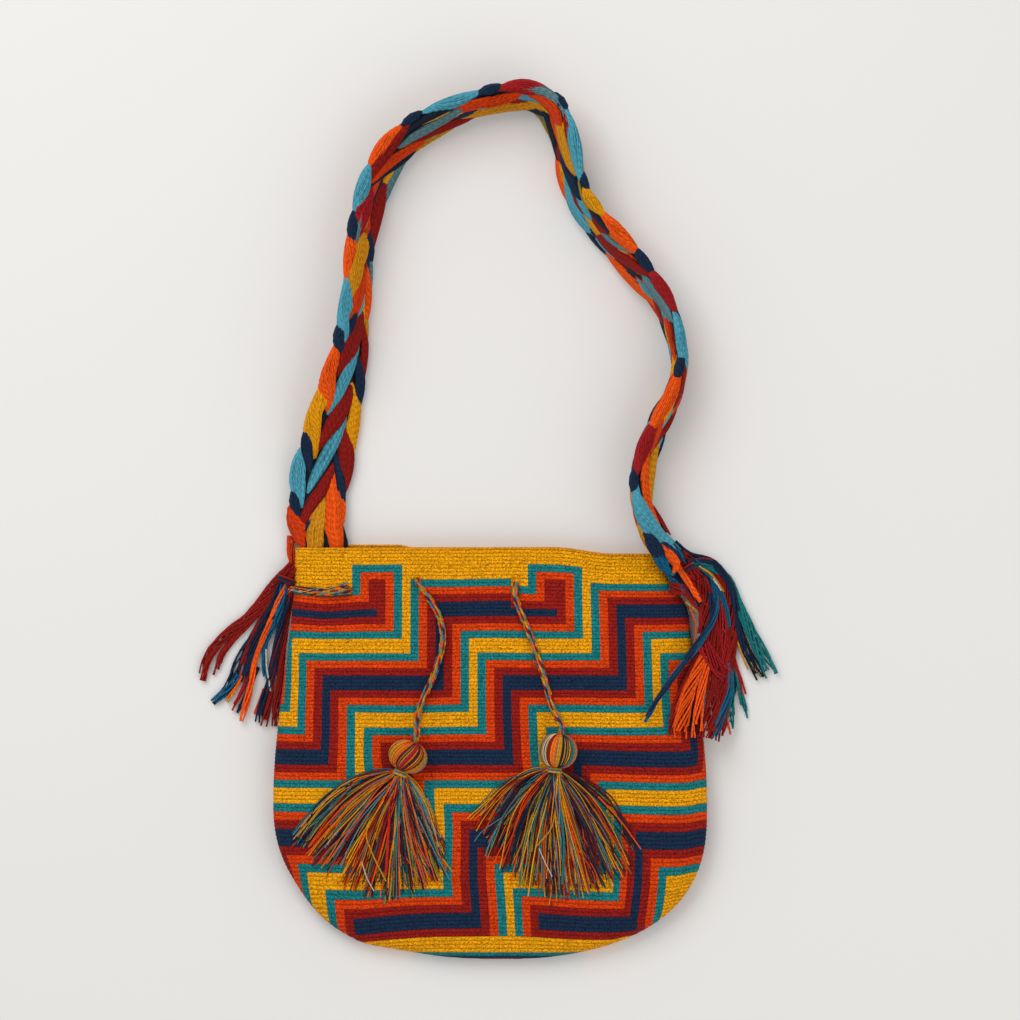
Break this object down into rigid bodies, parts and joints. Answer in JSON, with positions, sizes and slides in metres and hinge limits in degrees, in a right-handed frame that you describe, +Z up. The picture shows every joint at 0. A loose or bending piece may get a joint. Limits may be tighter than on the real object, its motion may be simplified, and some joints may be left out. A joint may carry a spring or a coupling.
{
  "type": "crocheted shoulder bag",
  "caption": "Crocheted drawstring shoulder bag lying flat, with a stepped fret pattern, a plaited strap, a drawcord and yarn tassels.",
  "frame": {"origin": "middle of the bag's flat back face, which rests on the surface", "axes": "+Y towards the mouth and the strap, +Z up out of the front face, +X to the right as the front is seen"},
  "size_m": [0.4474, 0.6589, 0.0619],
  "materials": {
    "crochet_cotton": "tight single crochet in heathered cotton, five colours in a stepped fret",
    "plaited_cotton": "flat plait of thick many-yarn strands in five colours",
    "cord_cotton": "round cord twisted from yarns of many colours",
    "tassel_yarn": "loose fine cotton yarns of many colours",
    "fringe_yarn": "loose thick cotton yarns in locks of one colour each",
    "tie_yarn": "yarn wound tightly round a neck"
  },
  "bodies": {
    "root": {"bag_body": "crochet_cotton", "strap": "plaited_cotton", "drawcord_threaded": "cord_cotton", "drawcord_left_end": "cord_cotton", "drawcord_right_end": "cord_cotton", "left_tassel": "tassel_yarn", "right_tassel": "tassel_yarn", "left_tassel_tie": "tie_yarn", "right_tassel_tie": "tie_yarn", "left_strap_fringe": "fringe_yarn", "right_strap_fringe": "fringe_yarn", "left_strap_fringe_tie": "tie_yarn", "right_strap_fringe_tie": "tie_yarn"}
  },
  "joints": []
}
